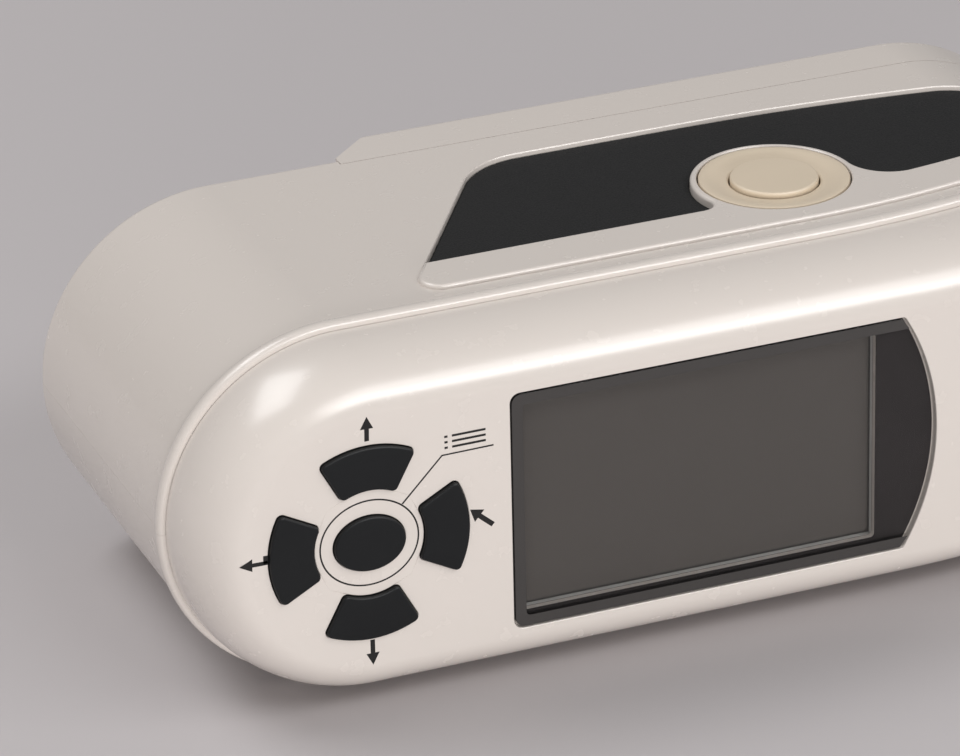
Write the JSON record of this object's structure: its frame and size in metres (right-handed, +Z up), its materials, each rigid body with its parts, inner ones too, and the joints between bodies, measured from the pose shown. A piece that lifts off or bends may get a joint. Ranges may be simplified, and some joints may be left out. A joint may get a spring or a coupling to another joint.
{
  "type": "colorimeter",
  "caption": "Hand-held colorimeter with a long rounded white case, glass display, round keypad, side trigger button, black grips and a measuring aperture in its rear platform.",
  "frame": {"origin": "on the surface it lies on, under the middle of the case", "axes": "+X along the case towards the measuring end, +Y from the display face back to the rear platform, +Z up through the side with the trigger button"},
  "size_m": [0.205, 0.0948, 0.0679],
  "materials": {
    "white_case": "glossy warm white moulding",
    "black_grip": "matt fine-grained",
    "black_keys": "matt moulded",
    "silicone": "soft matt",
    "display_glass": "tinted, glossy",
    "lcd_surface": "dark, switched off",
    "cream_plastic": "satin cream moulding",
    "black_plastic": "moulded black",
    "circuit_board": "green solder mask",
    "white_coating": "matt diffuse white",
    "lens_glass": "clear, polished",
    "steel": "plated",
    "brass": "plain",
    "battery_wrap": "plain blue sleeve"
  },
  "bodies": {
    "case": {"front_cover": "white_case", "upper_shell": "white_case", "lower_shell": "white_case", "rear_base": "white_case", "upper_grip": "black_grip", "lower_grip": "black_grip", "keypad_mat": "silicone", "display_lens": "display_glass", "display_gasket": "silicone", "lcd_panel": "lcd_surface", "button_ring": "cream_plastic", "button_switch": "black_plastic", "switch_board": "circuit_board", "main_board": "circuit_board", "buzzer": "black_plastic", "side_board": "circuit_board", "power_switch": "steel", "data_socket": "steel", "aperture_ring": "black_plastic", "sphere_front_half": "white_coating", "sphere_rear_half": "white_coating", "lamp_board": "circuit_board", "sensor_tube": "black_plastic", "focus_lens": "lens_glass", "sensor_board": "circuit_board", "battery_tray": "black_plastic", "battery_pack": "battery_wrap", "battery_contact_plus": "brass", "battery_contact_minus": "brass", "case_screw_1": "steel", "case_screw_2": "steel", "case_screw_3": "steel", "case_screw_4": "steel", "base_screw_1": "steel", "base_screw_2": "steel", "base_screw_3": "steel", "base_screw_4": "steel"},
    "key_top": {"key_top": "black_keys"},
    "key_bottom": {"key_bottom": "black_keys"},
    "key_left": {"key_left": "black_keys"},
    "key_right": {"key_right": "black_keys"},
    "key_centre": {"key_centre": "black_keys"},
    "trigger": {"measure_button": "cream_plastic", "switch_plunger": "black_plastic"},
    "power_slider": {"power_slider": "black_plastic"},
    "battery_cover": {"battery_cover": "white_case"}
  },
  "joints": [
    {"name": "key_top_press", "type": "slide", "parent": "case", "child": "key_top", "axis": [0, 1, 0], "range_m": [0, 0.0008], "stiffness_N_per_m": 1200},
    {"name": "key_bottom_press", "type": "slide", "parent": "case", "child": "key_bottom", "axis": [0, 1, 0], "range_m": [0, 0.0008], "stiffness_N_per_m": 1200},
    {"name": "key_left_press", "type": "slide", "parent": "case", "child": "key_left", "axis": [0, 1, 0], "range_m": [0, 0.0008], "stiffness_N_per_m": 1200},
    {"name": "key_right_press", "type": "slide", "parent": "case", "child": "key_right", "axis": [0, 1, 0], "range_m": [0, 0.0008], "stiffness_N_per_m": 1200},
    {"name": "key_centre_press", "type": "slide", "parent": "case", "child": "key_centre", "axis": [0, 1, 0], "range_m": [0, 0.0008], "stiffness_N_per_m": 1200},
    {"name": "trigger_press", "type": "slide", "parent": "case", "child": "trigger", "axis": [0, 0, -1], "range_m": [0, 0.0012], "stiffness_N_per_m": 1500},
    {"name": "power_slide", "type": "slide", "parent": "case", "child": "power_slider", "axis": [1, 0, 0], "range_m": [0, 0.003]},
    {"name": "battery_cover_hinge", "type": "hinge", "parent": "case", "child": "battery_cover", "pos_m": [-0.0468, 0.037, 0.0338], "axis": [0, 0, -1], "range_deg": [0, 80]}
  ]
}
